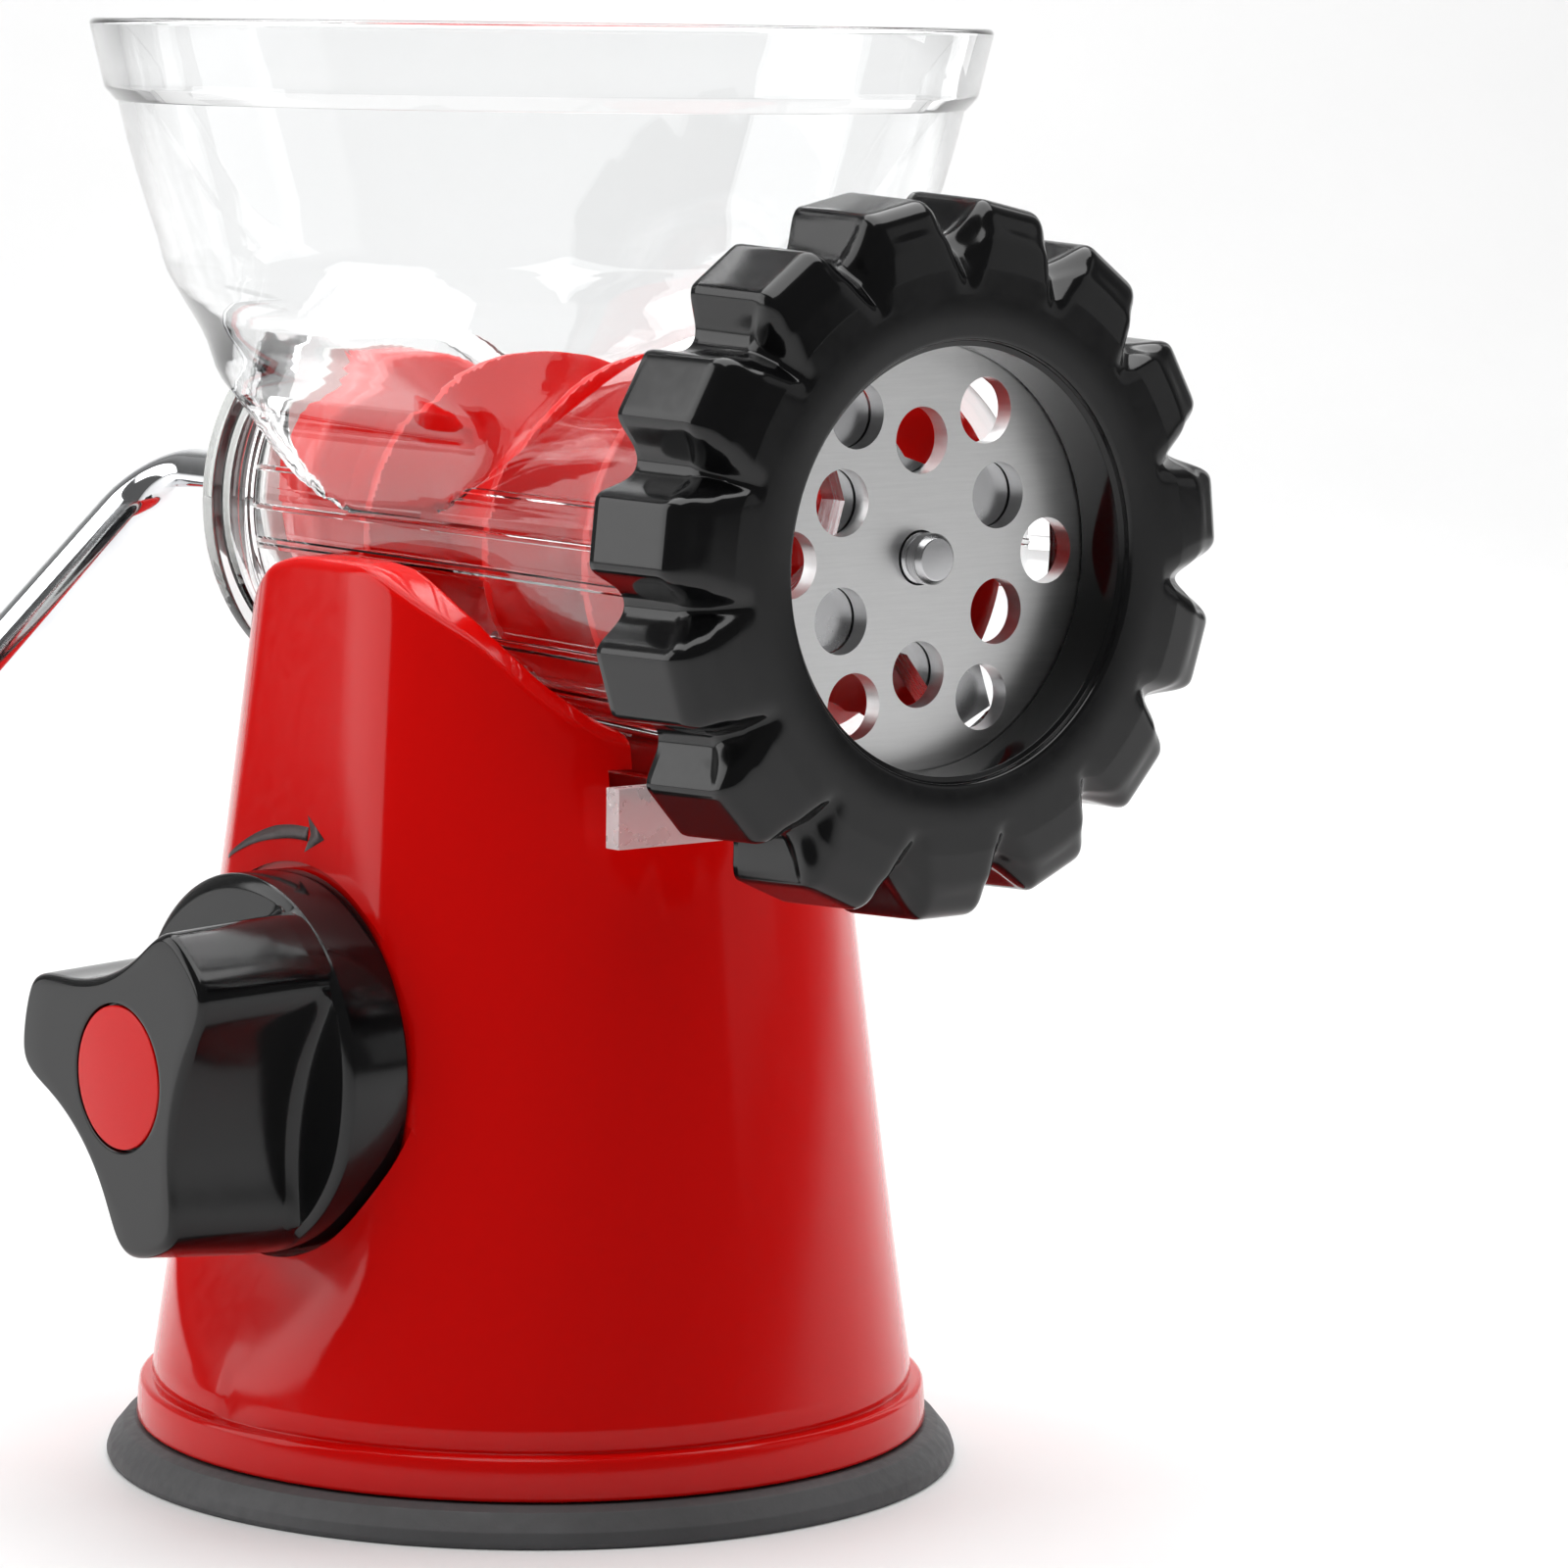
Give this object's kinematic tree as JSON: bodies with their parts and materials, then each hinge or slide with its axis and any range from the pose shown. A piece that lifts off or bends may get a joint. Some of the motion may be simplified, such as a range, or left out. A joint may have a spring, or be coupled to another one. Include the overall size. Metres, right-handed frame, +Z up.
{
  "type": "hand crank meat grinder",
  "caption": "Hand crank meat grinder: clear hopper and barrel on a red conical suction base, with lock knob, ring nut, cutting plate, feed screw, blade and cranked handle.",
  "frame": {"origin": "centre of the suction cup's flat underside, on the table", "axes": "+Z up, -Y the way the outlet faces, +Y the crank's side, -X the locking knob's side"},
  "size_m": [0.1825, 0.311, 0.234],
  "materials": {
    "red_plastic": "glossy moulded red plastic",
    "black_plastic": "glossy moulded black plastic",
    "clear_plastic": "clear moulded plastic",
    "white_plastic": "white moulded plastic",
    "dark_rubber": "matte dark grey rubber",
    "brushed_steel": "fine brushed stainless steel",
    "chrome": "bright chrome plating"
  },
  "bodies": {
    "base": {"base_shell": "red_plastic", "suction_cup": "dark_rubber", "lift_guide": "white_plastic", "guide_screw_1": "brushed_steel", "guide_screw_2": "brushed_steel", "guide_screw_3": "brushed_steel", "guide_screw_4": "brushed_steel", "knob_bush": "white_plastic", "lift_spring": "brushed_steel"},
    "cup_lift": {"cup_stud": "brushed_steel", "spring_collar": "brushed_steel", "stud_nut": "brushed_steel"},
    "knob": {"lock_knob": "black_plastic", "knob_cap": "red_plastic", "knob_screw": "brushed_steel", "cam_shaft": "brushed_steel", "shaft_clip": "brushed_steel", "lift_cam": "white_plastic"},
    "barrel": {"barrel_hopper": "clear_plastic", "rear_bush": "white_plastic"},
    "drive": {"auger": "red_plastic", "auger_shaft": "white_plastic", "hub_washer": "white_plastic", "auger_pin": "brushed_steel", "drive_pin_1": "brushed_steel", "drive_pin_2": "brushed_steel", "cross_blade": "brushed_steel", "crank_hub": "black_plastic", "crank_rod": "chrome", "grip_washer": "brushed_steel", "grip_clip": "brushed_steel"},
    "handle_grip": {"grip": "black_plastic", "grip_cap": "black_plastic"},
    "plate": {"coarse_plate": "brushed_steel"},
    "nut": {"ring_nut": "black_plastic"}
  },
  "joints": [
    {"name": "knob_turn", "type": "hinge", "parent": "base", "child": "knob", "pos_m": [0, 0, 0.07], "axis": [1, 0, 0], "range_deg": [0, 90]},
    {"name": "cup_lift", "type": "slide", "parent": "base", "child": "cup_lift", "axis": [0, 0, 1], "range_m": [0, 0.003], "deforming": ["lift_spring"]},
    {"name": "barrel_slide", "type": "slide", "parent": "base", "child": "barrel", "axis": [0, -1, 0], "range_m": [0, 0.04]},
    {"name": "crank_turn", "type": "hinge", "parent": "barrel", "child": "drive", "pos_m": [0, 0, 0.155], "axis": [0, 1, 0], "continuous": true},
    {"name": "grip_spin", "type": "hinge", "parent": "drive", "child": "handle_grip", "pos_m": [-0.09615, 0.165, 0.06751], "axis": [0, 1, 0], "continuous": true},
    {"name": "plate_slide", "type": "slide", "parent": "barrel", "child": "plate", "axis": [0, -1, 0], "range_m": [0, 0.0101]},
    {"name": "nut_turn", "type": "hinge", "parent": "plate", "child": "nut", "pos_m": [0, -0.095, 0.155], "axis": [0, -1, 0], "range_deg": [0, 720]}
  ],
  "couplings": [
    {"joint": "cup_lift", "follows": "knob_turn", "m_per_rad": 0.0019},
    {"joint": "plate_slide", "follows": "nut_turn", "m_per_rad": 0.00079577}
  ]
}
